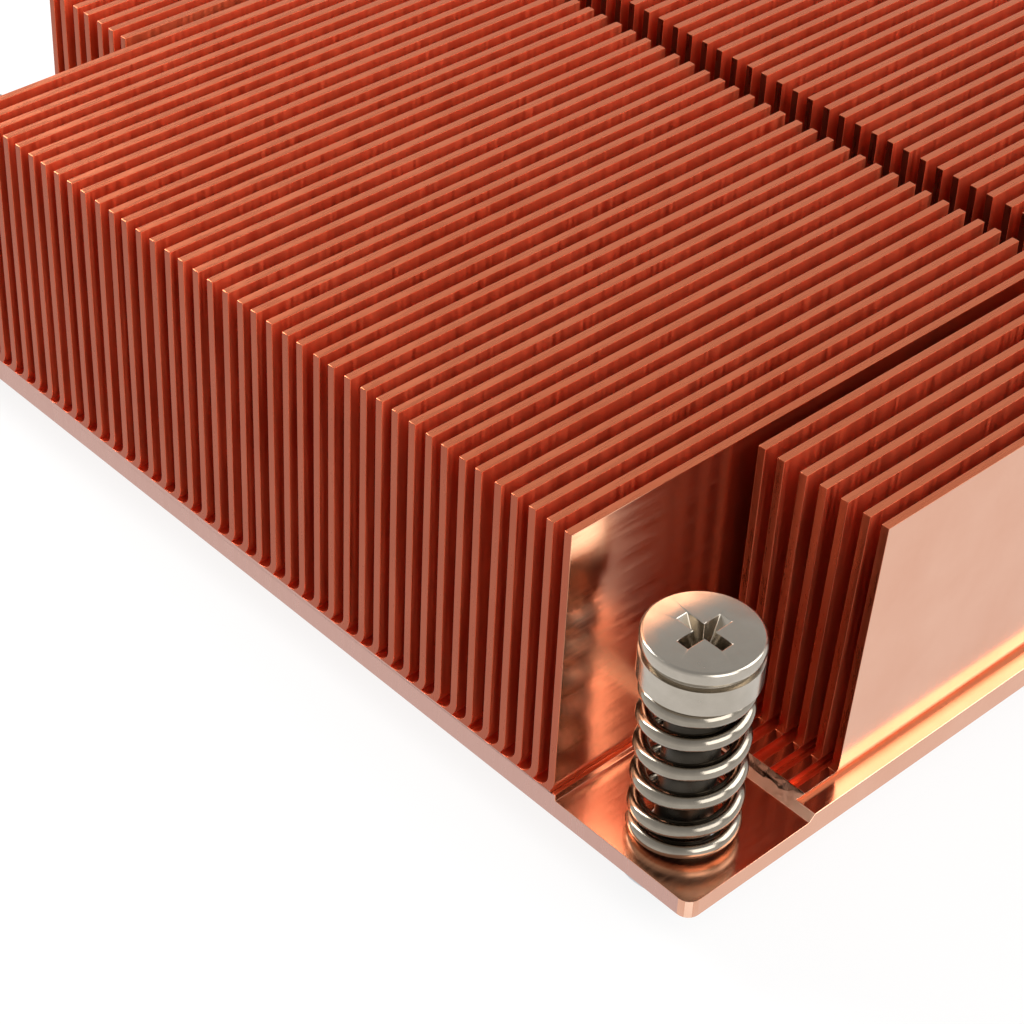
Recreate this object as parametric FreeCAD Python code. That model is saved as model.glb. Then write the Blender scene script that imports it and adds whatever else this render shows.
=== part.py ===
import FreeCAD, Part
import math
import os

# Passive copper heatsink for a 1U server processor, in millimetres.
#
# Frame: origin at the centre of the contact face that sits on the processor,
# +Z up through the fins, X across the fins, Y along them (the way the air goes).
#
# The body is skived: a blade travelling towards -X slices each fin out of a solid
# copper block and turns it upright, so base and fins stay one piece of metal.
# Four captive spring screws stand in the corners, where the fins are milled away.

# ---------------------------------------------------------------- base plate
base_width = 91.0           # X
base_length = 90.0          # Y
plate_thickness = 2.0       # underside of the plate to the floors between the fins
plate_corner_radius = 1.0
contact_size = 60.0         # square pad under the plate that meets the processor
contact_height = 2.1
contact_corner_radius = 3.0
contact_chamfer = 0.4

# ---------------------------------------------------------------- fins
fin_pitch = 1.625
narrowest_ledge = 1.3       # bare plate left beside the outermost fins
fin_thickness = 0.64
fin_height = 22.4           # floor between the fins to their tips
root_radius = 1.2           # inside curve where the metal turned up from the block
groove_width = 3.1          # slot milled across the fin tips
groove_depth = 9.0
groove_from_centre = 4.4    # towards +Y

# ---------------------------------------------------------------- corner notches
notch_length = 15.6         # along the fins, from the end of the base
land_height = 0.5           # milled stubs of the cut fins, above the floors
seat_length = 11.5          # deeper flat pocket for the spring, along the fins
seat_depth = 0.5            # below the floors
seat_end_slope = 45.0       # degrees; the pocket's inner end rises like the cutter's cone

# ---------------------------------------------------------------- screws
screw_from_side = 5.5       # screw axes to the base's X faces
screw_from_end = 5.0        # screw axes to the base's Y faces
screw_hole_clearance = 0.7  # on the shank diameter
shank_diameter = 3.9
head_diameter = 8.2
head_height = 3.5
head_edge_chamfer = 0.35
head_top_band = 0.9         # disc above the groove that runs round the head
head_groove_height = 0.6
head_groove_depth = 0.45
recess_width = 4.4          # cross recess for the driver
recess_slot = 1.0
recess_depth = 2.0
recess_floor_width = 1.4
tip_length = 3.2            # threaded end below the retaining ring
tip_diameter = 3.5
tip_chamfer = 0.5

# ---------------------------------------------------------------- springs
spring_length = 13.6        # between the seat and the head
spring_wire = 1.15
spring_wire_sides = 6       # the drawn wire is modelled with this many flats
spring_outer_diameter = 7.9
spring_wall_clearance = 3.2 # least room between a spring and the wall of its notch
spring_open_turns = 4.1     # working turns between the closed ends
spring_closed_turns = 0.75  # turns laid flat at each end
spring_coil_gap = 0.03      # between a closed turn and the next one
spring_start_angle = 225.0  # where the wire's lower end lies, in degrees about Z from +X
spring_end_gap = 0.02       # closed ends to the seat and the head

# ---------------------------------------------------------------- retaining rings
ring_diameter = 8.8
ring_thickness = 1.0
ring_band = 1.3             # radial width of the band
ring_prong_width = 1.7
ring_mouth = 2.9            # opening that lets the ring push on from the side
ring_groove_depth = 0.45    # groove in the screw, below the shank surface
ring_fit = 0.05             # prong tips to groove floor
ring_side_play = 0.05       # ring faces to groove sides

# ---------------------------------------------------------------- worked out
plate_underside = contact_height
floor_level = plate_underside + plate_thickness
fin_top = floor_level + fin_height
root_centre_level = floor_level + root_radius
outer_root_radius = root_radius + fin_thickness
seat_level = floor_level - seat_depth
land_level = floor_level + land_height
comb_width = base_width - 2 * narrowest_ledge
fin_count = math.floor((comb_width - fin_thickness) / fin_pitch) + 1
screw_x = base_width / 2 - screw_from_side
screw_y = base_length / 2 - screw_from_end
shank_radius = shank_diameter / 2
head_underside = seat_level + spring_length
overcut = 1.0               # cutting tools run this far past the metal


def fin_centre(index):
    """X of a fin's middle plane; the stack is centred on the base."""
    return (index - (fin_count - 1) / 2) * fin_pitch


def notch_wall():
    """X of the fin face that the +X notches are milled up to, clear of the springs."""
    limit = screw_x - spring_outer_diameter / 2 - spring_wall_clearance
    faces = [fin_centre(index) + fin_thickness / 2 for index in range(fin_count)]
    return max(face for face in faces if face <= limit)


def line(start, end):
    return Part.LineSegment(start, end).toShape()


def root_arc(centre_x, radius, start_deg, end_deg):
    """Arc about a root centre, in the XZ plane; 0 degrees points along +X."""
    def at(angle_deg):
        angle = math.radians(angle_deg)
        x = centre_x + radius * math.cos(angle)
        return FreeCAD.Vector(x, 0, root_centre_level + radius * math.sin(angle))
    middle = at((start_deg + end_deg) / 2)
    return Part.Arc(at(start_deg), middle, at(end_deg)).toShape(), at(start_deg), at(end_deg)


def skived_section():
    """Cross-section of plate and fins: each fin rises from a J-shaped root.

    The inside of the J is a fillet of root_radius on the fin's -X side. Its outside
    is concentric, one fin thickness further out, and runs under the fin until it
    meets the next fin's fillet in a cusp.
    """
    inner, outer = root_radius, outer_root_radius
    cusp_x = (fin_pitch ** 2 + outer ** 2 - inner ** 2) / (2 * fin_pitch)
    cusp_outer_deg = -math.degrees(math.acos(cusp_x / outer))
    cusp_inner_deg = -math.degrees(math.acos((cusp_x - fin_pitch) / inner))
    ledge_deg = -math.degrees(math.asin(inner / outer))
    half = base_width / 2
    low_left = FreeCAD.Vector(-half, 0, plate_underside)
    low_right = FreeCAD.Vector(half, 0, plate_underside)
    edges = []
    cursor = FreeCAD.Vector(-half, 0, floor_level)
    edges.append(line(low_left, cursor))
    for index in range(fin_count):
        left = fin_centre(index) - fin_thickness / 2
        right = left + fin_thickness
        centre_x = left - inner
        inner_from = -90 if index == 0 else cusp_inner_deg
        outer_to = ledge_deg if index == fin_count - 1 else cusp_outer_deg
        fillet, fillet_start, fillet_end = root_arc(centre_x, inner, inner_from, 0)
        if index == 0:
            edges.append(line(cursor, fillet_start))
        tip_left = FreeCAD.Vector(left, 0, fin_top)
        tip_right = FreeCAD.Vector(right, 0, fin_top)
        back, back_start, back_end = root_arc(centre_x, outer, 0, outer_to)
        edges += [fillet, line(fillet_end, tip_left), line(tip_left, tip_right)]
        edges += [line(tip_right, back_start), back]
        cursor = back_end
    ledge_end = FreeCAD.Vector(half, 0, floor_level)
    edges += [line(cursor, ledge_end), line(ledge_end, low_right), line(low_right, low_left)]
    return Part.Face(Part.Wire(edges))


def centred_box(width, length, height, level):
    corner = FreeCAD.Vector(-width / 2, -length / 2, level)
    return Part.makeBox(width, length, height, corner)


def upright_edges(shape):
    """Straight edges that run parallel to Z."""
    found = []
    for edge in shape.Edges:
        direction = edge.Vertexes[-1].Point - edge.Vertexes[0].Point
        if abs(direction.z) > 0.999 * direction.Length:
            found.append(edge)
    return found


def corner_cutter(sign_x, sign_y, outline):
    """Block over one corner of the base, outside the notch wall.

    The outline holds (distance in from the end of the base, height) points.
    """
    wall_x = notch_wall()
    width = base_width / 2 - wall_x + overcut
    points = []
    for inset, level in outline:
        y = sign_y * (base_length / 2 - inset)
        points.append(FreeCAD.Vector(sign_x * wall_x, y, level))
    points.append(points[0])
    return Part.Face(Part.makePolygon(points)).extrude(FreeCAD.Vector(sign_x * width, 0, 0))


def notch_outline():
    """Side view of the notch, which ends square against the short fins."""
    top = fin_top + overcut
    return [(-overcut, land_level), (notch_length, land_level), (notch_length, top), (-overcut, top)]


def seat_outline():
    """Side view of the spring's pocket, with a sloping inner end."""
    rise = land_level - seat_level + overcut
    run = rise / math.tan(math.radians(seat_end_slope))
    top = seat_level + rise
    return [(-overcut, seat_level), (seat_length, seat_level), (seat_length + run, top), (-overcut, top)]


def heatsink_body(corners):
    start = FreeCAD.Vector(0, -base_length / 2, 0)
    section = skived_section()
    section.translate(start)
    body = section.extrude(FreeCAD.Vector(0, base_length, 0))

    outline = centred_box(base_width, base_length, fin_top + overcut, 0)
    outline = outline.makeFillet(plate_corner_radius, upright_edges(outline))
    body = body.common(outline)

    cuts = []
    hole_radius = (shank_diameter + screw_hole_clearance) / 2
    for sign_x, sign_y in corners:
        cuts.append(corner_cutter(sign_x, sign_y, notch_outline()))
        cuts.append(corner_cutter(sign_x, sign_y, seat_outline()))
        hole_start = FreeCAD.Vector(sign_x * screw_x, sign_y * screw_y, 0)
        cuts.append(Part.makeCylinder(hole_radius, fin_top, hole_start))
    groove = centred_box(base_width, groove_width, groove_depth + overcut, fin_top - groove_depth)
    groove.translate(FreeCAD.Vector(0, groove_from_centre, 0))
    cuts.append(groove)
    body = body.cut(cuts)

    pad = centred_box(contact_size, contact_size, contact_height + plate_thickness / 2, 0)
    pad = pad.makeFillet(contact_corner_radius, upright_edges(pad))
    rim = [edge for edge in pad.Edges if edge.BoundBox.ZMax < 0.001]
    pad = pad.makeChamfer(contact_chamfer, rim)
    return body.fuse(pad).removeSplitter()


def screw_profile():
    """Half section of a captive screw on the Z axis, from the tip up."""
    head_radius = head_diameter / 2
    neck_radius = head_radius - head_groove_depth
    head_top = head_underside + head_height
    groove_top = head_top - head_top_band
    groove_bottom = groove_top - head_groove_height
    ring_top = plate_underside + ring_side_play
    ring_bottom = plate_underside - ring_thickness - ring_side_play
    ring_seat_radius = shank_radius - ring_groove_depth
    tip_radius = tip_diameter / 2
    tip_level = ring_bottom - tip_length
    soft = head_edge_chamfer
    outline = [
        (0, tip_level),
        (tip_radius - tip_chamfer, tip_level),
        (tip_radius, tip_level + tip_chamfer),
        (tip_radius, ring_bottom),
        (ring_seat_radius, ring_bottom),
        (ring_seat_radius, ring_top),
        (shank_radius, ring_top),
        (shank_radius, head_underside),
        (head_radius, head_underside),
        (head_radius, groove_bottom),
        (neck_radius, groove_bottom),
        (neck_radius, groove_top),
        (head_radius, groove_top),
        (head_radius, head_top - soft),
        (head_radius - soft, head_top),
        (0, head_top),
    ]
    points = [FreeCAD.Vector(radius, 0, level) for radius, level in outline]
    points.append(points[0])
    return Part.Face(Part.makePolygon(points))


def cross_recess():
    """Two tapered slots that cross in the middle of the head."""
    head_top = head_underside + head_height
    floor = head_top - recess_depth
    rise = head_top + overcut
    spread = (recess_width - recess_floor_width) / 2 / recess_depth
    half_floor = recess_floor_width / 2
    half_top = half_floor + spread * (recess_depth + overcut)
    outline = [(-half_floor, floor), (half_floor, floor), (half_top, rise), (-half_top, rise)]
    points = [FreeCAD.Vector(x, -recess_slot / 2, z) for x, z in outline]
    points.append(points[0])
    slot = Part.Face(Part.makePolygon(points)).extrude(FreeCAD.Vector(0, recess_slot, 0))
    crossing = slot.copy()
    crossing.rotate(FreeCAD.Vector(0, 0, 0), FreeCAD.Vector(0, 0, 1), 90)
    return slot.fuse(crossing)


def captive_screw():
    axis = FreeCAD.Vector(0, 0, 1)
    blank = screw_profile().revolve(FreeCAD.Vector(0, 0, 0), axis, 360)
    return blank.cut(cross_recess())


def helix(radius, pitch, turns, first_turn, level):
    """Helix edges that start first_turn turns round the Z axis, at level."""
    coil = Part.makeHelix(pitch, pitch * turns, radius)
    coil.rotate(FreeCAD.Vector(0, 0, 0), FreeCAD.Vector(0, 0, 1), 360 * first_turn)
    coil.translate(FreeCAD.Vector(0, 0, level))
    return coil.Edges


def coil_spring():
    """Compression spring with closed ends, standing on the seat."""
    radius = (spring_outer_diameter - spring_wire) / 2
    bottom = seat_level + spring_end_gap + spring_wire / 2
    rise = spring_length - 2 * spring_end_gap - spring_wire
    closed_pitch = spring_wire + spring_coil_gap
    closed_rise = closed_pitch * spring_closed_turns
    open_rise = rise - 2 * closed_rise
    open_pitch = open_rise / spring_open_turns
    last_start = spring_closed_turns + spring_open_turns
    path = helix(radius, closed_pitch, spring_closed_turns, 0, bottom)
    path += helix(radius, open_pitch, spring_open_turns, spring_closed_turns, bottom + closed_rise)
    path += helix(radius, closed_pitch, spring_closed_turns, last_start, bottom + closed_rise + open_rise)
    corners = []
    for side in range(spring_wire_sides + 1):
        angle = 2 * math.pi * (side + 0.5) / spring_wire_sides
        x = radius + spring_wire / 2 * math.cos(angle)
        corners.append(FreeCAD.Vector(x, 0, bottom + spring_wire / 2 * math.sin(angle)))
    coil = Part.Wire(path).makePipeShell([Part.makePolygon(corners)], True, True)
    coil.rotate(FreeCAD.Vector(0, 0, 0), FreeCAD.Vector(0, 0, 1), spring_start_angle)
    return coil


def retaining_ring():
    """Push-on E-ring in the screw's groove, against the underside of the plate."""
    level = plate_underside - ring_thickness
    base = FreeCAD.Vector(0, 0, level)
    outer = ring_diameter / 2
    seat_radius = shank_radius - ring_groove_depth + ring_fit
    band = Part.makeCylinder(outer, ring_thickness, base)
    band = band.cut(Part.makeCylinder(outer - ring_band, ring_thickness, base))
    prongs = []
    for angle in (90, 180, 270):
        corner = FreeCAD.Vector(0, -ring_prong_width / 2, level)
        prong = Part.makeBox(outer - ring_band / 2, ring_prong_width, ring_thickness, corner)
        prong.rotate(FreeCAD.Vector(0, 0, 0), FreeCAD.Vector(0, 0, 1), angle)
        prongs.append(prong)
    mouth_corner = FreeCAD.Vector(0, -ring_mouth / 2, level)
    mouth = Part.makeBox(outer + overcut, ring_mouth, ring_thickness, mouth_corner)
    bore = Part.makeCylinder(seat_radius, ring_thickness, base)
    return band.fuse(prongs).cut([mouth, bore]).removeSplitter()


def export(shape, name, x=0.0, y=0.0):
    placed = shape.copy()
    placed.translate(FreeCAD.Vector(x, y, 0))
    placed.exportStep(f"parts/{name}.step")
    print(name, "solids", len(placed.Solids), "volume", round(placed.Volume, 2))


os.makedirs("parts", exist_ok=True)

corners = [(1, -1), (-1, -1), (-1, 1), (1, 1)]
export(heatsink_body(corners), "heatsink_body")
screw = captive_screw()
spring = coil_spring()
ring = retaining_ring()
for number, (sign_x, sign_y) in enumerate(corners, start=1):
    place = (sign_x * screw_x, sign_y * screw_y)
    export(screw, f"captive_screw_{number}", *place)
    export(spring, f"spring_{number}", *place)
    export(ring, f"retaining_ring_{number}", *place)
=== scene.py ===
# %% [markdown]
# # A passive copper heatsink for a flat server
#
# This lesson dresses a heatsink that a 1U server clamps onto its processor.
# It has no fan of its own: the server's blowers push air along the fins.
# The fins and the plate under them are one piece of copper. Four captive
# screws stand in the corners, each in a coil spring and held by a small ring.
# The solids and their motion come packed as a frame, in metres, and every
# finished piece takes its place from there.

# %% Load the frame
import bpy
import bmesh
import math
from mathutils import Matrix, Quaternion, Vector


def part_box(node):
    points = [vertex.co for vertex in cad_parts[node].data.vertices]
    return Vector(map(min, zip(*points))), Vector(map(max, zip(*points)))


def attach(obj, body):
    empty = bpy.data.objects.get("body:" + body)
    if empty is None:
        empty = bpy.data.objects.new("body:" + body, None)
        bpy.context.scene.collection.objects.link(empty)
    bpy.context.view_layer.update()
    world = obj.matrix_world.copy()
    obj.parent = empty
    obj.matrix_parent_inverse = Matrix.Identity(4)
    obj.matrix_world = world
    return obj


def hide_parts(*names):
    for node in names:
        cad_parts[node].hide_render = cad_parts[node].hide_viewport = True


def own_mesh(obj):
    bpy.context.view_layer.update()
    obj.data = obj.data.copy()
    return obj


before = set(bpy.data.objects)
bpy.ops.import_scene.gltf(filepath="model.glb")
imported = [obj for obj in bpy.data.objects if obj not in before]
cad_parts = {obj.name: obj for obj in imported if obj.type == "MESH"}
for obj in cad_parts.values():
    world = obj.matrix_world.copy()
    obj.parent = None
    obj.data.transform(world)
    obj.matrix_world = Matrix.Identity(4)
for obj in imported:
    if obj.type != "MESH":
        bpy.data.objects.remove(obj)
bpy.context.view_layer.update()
scene = bpy.context.scene

# %% [markdown]
# ## Sizes
#
# A maker's drawing gives millimetres, and Blender works in metres here, so each
# size is a number of MM. What the frame can tell is read from it: the outside of
# the copper, the four screw axes, the height of the spring seats. The rest are
# the few sizes that a box around a piece doesn't show.

# %% Sizes from the frame
MM = 0.001
copper_low, copper_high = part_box("heatsink_body")
screw_low, screw_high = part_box("captive_screw_1")
spring_low, spring_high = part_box("spring_1")
ring_low, ring_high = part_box("retaining_ring_1")
base_width = copper_high.x - copper_low.x
base_length = copper_high.y - copper_low.y
fin_top = copper_high.z
screw_axis_x = (screw_high.x + screw_low.x) / 2
screw_axis_y = -(screw_high.y + screw_low.y) / 2
corners = {1: (1, -1), 2: (-1, -1), 3: (-1, 1), 4: (1, 1)}
print("copper", [round(side / MM, 2) for side in (base_width, base_length, fin_top)], "mm")

# %% Sizes of the copper
plate_underside = ring_high.z
plate_thickness = 2.0 * MM
floor_level = plate_underside + plate_thickness
plate_corner = 1.0 * MM
fin_count = 55
fin_pitch = 1.625 * MM
fin_thickness = 0.64 * MM
root_radius = 1.2 * MM
kept_fins_beside_centre = 20
notch_wall_x = kept_fins_beside_centre * fin_pitch + fin_thickness / 2
face_slack = 0.05 * MM
outermost_face = (fin_count - 1) / 2 * fin_pitch + fin_thickness / 2 - face_slack
notch_length = 15.6 * MM
land_level = floor_level + 0.5 * MM
seat_length = 11.5 * MM
seat_level = floor_level - 0.5 * MM
hole_radius = 2.3 * MM
groove_width = 3.1 * MM
groove_depth = 9.0 * MM
groove_place = 4.4 * MM
pad_size = 60.0 * MM
pad_corner = 3.0 * MM
pad_chamfer = 0.4 * MM
print("fins", fin_count, "notch wall at", round(notch_wall_x / MM, 2), "mm")

# %% [markdown]
# ## Two helpers for node trees
#
# Materials and Geometry Nodes are both trees of nodes. One function adds a node,
# sets its options and fills its inputs, each with a value or with another node's
# output. Most nodes have a single output, so there the node's own name is enough.
# Colours are written as the hex values that a paint program shows, and the shader
# wants them linear, so one function turns one into the other.

# %% Tree and colour helpers
def add(tree, kind, inputs=None, **settings):
    """Adds one node.

    An input takes a value, another node's output, or a node, which means its first
    output. A list fills an input that takes several links.
    """
    node = tree.nodes.new(kind)
    for name, value in settings.items():
        setattr(node, name, value)
    for key, value in (inputs or {}).items():
        socket = node.inputs[key]
        for item in value if isinstance(value, list) else [value]:
            if isinstance(item, bpy.types.Node):
                item = item.outputs[0]
            if isinstance(item, bpy.types.NodeSocket):
                tree.links.new(item, socket)
            else:
                socket.default_value = item
    return node


def linear(hex_colour):
    """An sRGB hex colour as linear red, green, blue and full alpha."""
    levels = [int(hex_colour[k:k + 2], 16) / 255 for k in (0, 2, 4)]
    return (*(v / 12.92 if v <= 0.04045 else ((v + 0.055) / 1.055) ** 2.4 for v in levels), 1.0)


print("mid grey is", round(linear("808080")[0], 3), "linear")

# %% [markdown]
# ## Skived copper
#
# Skiving slices each fin out of the block with a wide blade and bends it upright
# in the same stroke. The blade rubs along the whole height of the fin and leaves
# fine upright streaks, so the metal is bright but not a mirror. Bare copper also
# tarnishes in faint clouds. One function makes every kind of bare copper. Most
# finishes differ by how each face was made, and two carry painted shade. The outer
# fin and the milled faces are bright. The fin tips are the block's old skin, redder
# and duller. The sheared fin ends are painted the darkest, as shade, and the plate's
# edge under them is painted darker too. Deep between the fins light bounces from
# copper to copper and reddens each time, so that copper is rough enough to pass it
# on, and its colour is painted redder and darker as that shade.

# %% Skived copper
cloud_size = 9.0 * MM


def new_material(name):
    """An empty node material, and its tree."""
    material = bpy.data.materials.new(name)
    material.use_nodes = True
    material.node_tree.nodes.clear()
    return material, material.node_tree


def copper_skin(name, clean, tarnished, roughness, streaks_mm, streak_depth, plate_edge=None):
    """Bare copper with cloudy tarnish and with tool streaks.

    streaks_mm is a streak's size along X, Y and Z. A fin's end and the plate's edge
    under it are one face, so where plate_edge is given, it is the colour of the lower part.
    """
    material, tree = new_material(name)
    place = add(tree, "ShaderNodeTexCoord")
    clouds = add(tree, "ShaderNodeTexNoise", {
        "Vector": place.outputs["Object"], "Scale": 1 / cloud_size, "Detail": 4.0, "Roughness": 0.6})
    stretched = add(tree, "ShaderNodeMapping", {
        "Vector": place.outputs["Object"], "Scale": tuple(1 / (side * MM) for side in streaks_mm)})
    streaks = add(tree, "ShaderNodeTexNoise", {
        "Vector": stretched, "Scale": 1.0, "Detail": 5.0, "Roughness": 0.65})
    tint = add(tree, "ShaderNodeMix", {0: clouds.outputs["Fac"], 6: linear(clean), 7: linear(tarnished)},
               data_type="RGBA")
    gloss = add(tree, "ShaderNodeMapRange", {
        "Value": streaks.outputs["Fac"], "From Min": 0.3, "From Max": 0.7,
        "To Min": roughness * 0.75, "To Max": roughness * 1.3})
    if plate_edge:
        at = add(tree, "ShaderNodeSeparateXYZ", {0: place.outputs["Object"]})
        up = add(tree, "ShaderNodeMath", {0: at.outputs["Z"], 1: floor_level}, operation="GREATER_THAN")
        tint = add(tree, "ShaderNodeMix", {0: up, 6: linear(plate_edge), 7: tint.outputs[2]},
                   data_type="RGBA")
    shader = add(tree, "ShaderNodeBsdfPrincipled", {
        "Base Color": tint.outputs[2], "Metallic": 1.0, "Roughness": gloss})
    if streak_depth:
        relief = add(tree, "ShaderNodeBump", {
            "Height": streaks.outputs["Fac"], "Strength": 0.35, "Distance": streak_depth})
        tree.links.new(relief.outputs[0], shader.inputs["Normal"])
    add(tree, "ShaderNodeOutputMaterial", {"Surface": shader})
    return material


# The flank that the blade rubbed: bright, with long upright streaks.
skived_copper = copper_skin(
    "skived_copper", clean="E8B69C", tarnished="D89A7C", roughness=0.15,
    streaks_mm=(0.35, 0.35, 14.0), streak_depth=0.003 * MM)
# The notch walls and flat floors: freshly cut, so the palest, streaked along the cutter's way.
milled_copper = copper_skin(
    "milled_copper", clean="F8C0A2", tarnished="EEAA88", roughness=0.2,
    streaks_mm=(0.3, 6.0, 0.3), streak_depth=0.003 * MM)
# The fin tips, once the face of the sawn block: dull, and redder with age.
block_skin = copper_skin(
    "block_skin_copper", clean="EE8860", tarnished="DC704A", roughness=0.28,
    streaks_mm=(0.4, 3.0, 0.4), streak_depth=0.004 * MM)
# The ends of the fins, sheared across, and painted dark as shade. The plate's edge
# below them is milled, and painted darker too, as shade.
shaded_fin_ends = copper_skin(
    "fin_end_copper_shaded", clean="B45E42", tarnished="9C4C34", roughness=0.3,
    streaks_mm=(0.4, 0.4, 3.0), streak_depth=0.004 * MM, plate_edge="C69C90")
# The sloping end of each seat, cut by the tool's cone: matt and pale.
ramp_copper = copper_skin(
    "ramp_copper", clean="FFDCC4", tarnished="FAC4A6", roughness=0.5,
    streaks_mm=(0.3, 0.3, 0.3), streak_depth=0.003 * MM)
# The hidden flanks and floors, where the metal was torn and is roughest. Their colour
# is painted redder and darker, as shade deep between the fins.
amid_fins_shade = copper_skin(
    "copper_shaded_amid_fins", clean="FA9068", tarnished="EC7448", roughness=0.46,
    streaks_mm=(0.35, 0.35, 14.0), streak_depth=0.0)
coppers = (skived_copper, milled_copper, block_skin, shaded_fin_ends, ramp_copper, amid_fins_shade)
print("materials:", [copper.name for copper in coppers])

# %% [markdown]
# ## Nickel plate, spring wire and ring steel
#
# The screws are turned steel. Their heads have a thin bright nickel plate, a touch
# warm, and the shanks below are the same steel painted dark, as shade inside the
# springs. The springs are drawn wire, plated too, with the drawing oil's brown in it.
# The rings are stamped from spring steel and zinc plated, which is bluer and duller.

# %% Plated steels
patch_size = 2.0 * MM


def plated_steel(name, bright, dull, roughness, grain, relief_height):
    """Plated steel with fine, even grain and a little uneven brightness."""
    material, tree = new_material(name)
    place = add(tree, "ShaderNodeTexCoord")
    patches = add(tree, "ShaderNodeTexNoise", {
        "Vector": place.outputs["Object"], "Scale": 1 / patch_size, "Detail": 3.0})
    fine = add(tree, "ShaderNodeTexNoise", {
        "Vector": place.outputs["Object"], "Scale": 1 / grain, "Detail": 3.0})
    tint = add(tree, "ShaderNodeMix", {0: patches.outputs["Fac"], 6: linear(bright), 7: linear(dull)},
               data_type="RGBA")
    gloss = add(tree, "ShaderNodeMapRange", {
        "Value": patches.outputs["Fac"], "From Min": 0.3, "From Max": 0.7,
        "To Min": roughness * 0.7, "To Max": roughness * 1.3})
    relief = add(tree, "ShaderNodeBump", {
        "Height": fine.outputs["Fac"], "Strength": 0.3, "Distance": relief_height})
    shader = add(tree, "ShaderNodeBsdfPrincipled", {
        "Base Color": tint.outputs[2], "Metallic": 1.0, "Roughness": gloss,
        "Normal": relief})
    add(tree, "ShaderNodeOutputMaterial", {"Surface": shader})
    return material


nickel_plate = plated_steel("nickel_plate", "C6BDB0", "A69D90", roughness=0.22, grain=0.15 * MM,
                            relief_height=0.004 * MM)
spring_wire_steel = plated_steel("spring_wire_steel", "AEA496", "7C7468", roughness=0.16, grain=0.12 * MM,
                                 relief_height=0.004 * MM)
# The shanks: the same screw steel, painted dark as shade inside the springs.
shank_shade_steel = plated_steel("shank_painted_shade_steel", "4A443C", "332E28", roughness=0.3, grain=0.15 * MM,
                           relief_height=0.004 * MM)
zinc_plate = plated_steel("zinc_plate", "D3D6DA", "A9AFB6", roughness=0.34, grain=0.2 * MM,
                          relief_height=0.006 * MM)
steels = (nickel_plate, spring_wire_steel, shank_shade_steel, zinc_plate)
print("materials:", [steel.name for steel in steels])

# %% [markdown]
# ## Growing a piece from a tree
#
# A Geometry Nodes tree is a recipe with named inputs. To use one, an empty carrier
# object gets it as a modifier, its inputs are set, and the result is copied out as
# a plain mesh. The carrier is thrown away, so nothing live is left on the piece.
# Two things come on top of most trees; the springs go without them. A bevel breaks
# the sharp edges, because no real edge is perfectly sharp and the broken one catches
# the light. And the normals of the smooth shading are weighed by area: otherwise each
# narrow broken edge tilts those of the wide face beside it, and a flat wall mirrors
# like a bulging one.

# %% Carrier for node trees
def new_tree(name, inputs, takes_geometry=False):
    """A Geometry Nodes tree with named inputs: its tree, its input node and its output node."""
    tree = bpy.data.node_groups.new(name, "GeometryNodeTree")
    tree.interface.new_socket("Geometry", in_out="OUTPUT", socket_type="NodeSocketGeometry")
    if takes_geometry:
        tree.interface.new_socket("Geometry", in_out="INPUT", socket_type="NodeSocketGeometry")
    for label, kind in inputs.items():
        tree.interface.new_socket(label, in_out="INPUT", socket_type="NodeSocket" + kind)
    return tree, tree.nodes.new("NodeGroupInput").outputs, tree.nodes.new("NodeGroupOutput").inputs


def run_tree(carrier, tree, values):
    """Adds the tree to an object as a modifier, with its inputs set by their identifiers."""
    modifier = carrier.modifiers.new(tree.name, "NODES")
    modifier.node_group = tree
    for item in tree.interface.items_tree:
        if item.in_out == "INPUT" and item.name in values:
            modifier[item.identifier] = values[item.name]


def plain_copy(carrier):
    """What the carrier's modifiers make, as a plain mesh; the carrier goes."""
    graph = bpy.context.evaluated_depsgraph_get()
    mesh = bpy.data.meshes.new_from_object(carrier.evaluated_get(graph), depsgraph=graph)
    bpy.data.objects.remove(carrier)
    return mesh


def new_carrier(name, mesh=None):
    """An object in the scene to work on; it starts empty unless a mesh is given."""
    carrier = bpy.data.objects.new(name, mesh or bpy.data.meshes.new(name))
    scene.collection.objects.link(carrier)
    return carrier


print("carriers are ready")

# %% Broken edges and flat faces
sharp_edge = math.radians(35)


def break_edges(carrier, width, chosen_by="ANGLE"):
    """A small round on every sharp edge, or with WEIGHT on those that the tree marked."""
    rounding = carrier.modifiers.new("broken_edges", "BEVEL")
    rounding.width = width
    rounding.segments = 2
    rounding.limit_method = chosen_by
    rounding.angle_limit = sharp_edge
    rounding.use_clamp_overlap = False


def take_mesh(carrier, name, smooth_below=sharp_edge, keep_flats_flat=True):
    """The carrier's result as a mesh object, smooth but for its sharp edges."""
    mesh = plain_copy(carrier)
    mesh.shade_smooth()
    mesh.set_sharp_from_angle(angle=smooth_below)
    if keep_flats_flat:
        weighed = new_carrier(name + "_weighed", mesh)
        even = weighed.modifiers.new("even_normals", "WEIGHTED_NORMAL")
        even.keep_sharp = True
        even.weight = 100
        mesh = plain_copy(weighed)
    mesh.name = name
    piece = bpy.data.objects.new(name, mesh)
    scene.collection.objects.link(piece)
    print(name, "has", len(mesh.vertices), "vertices")
    return piece


print("edges over", round(math.degrees(sharp_edge)), "degrees count as sharp")

# %% [markdown]
# ## Skiving the fins
#
# Each fin is a flat ribbon whose foot is bent into the plate, so seen from the end
# it is a J. The tree draws that J as a line with one rounded corner and sweeps the
# ribbon's section along it. The fins then stand in a row, and no two lean quite
# alike, because each one sprang back a little after the blade left it. The last
# few, with nothing beside them, lean out furthest. The blank is a little taller and
# longer than the finished block, and is squared to size once the fins stand.

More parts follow.
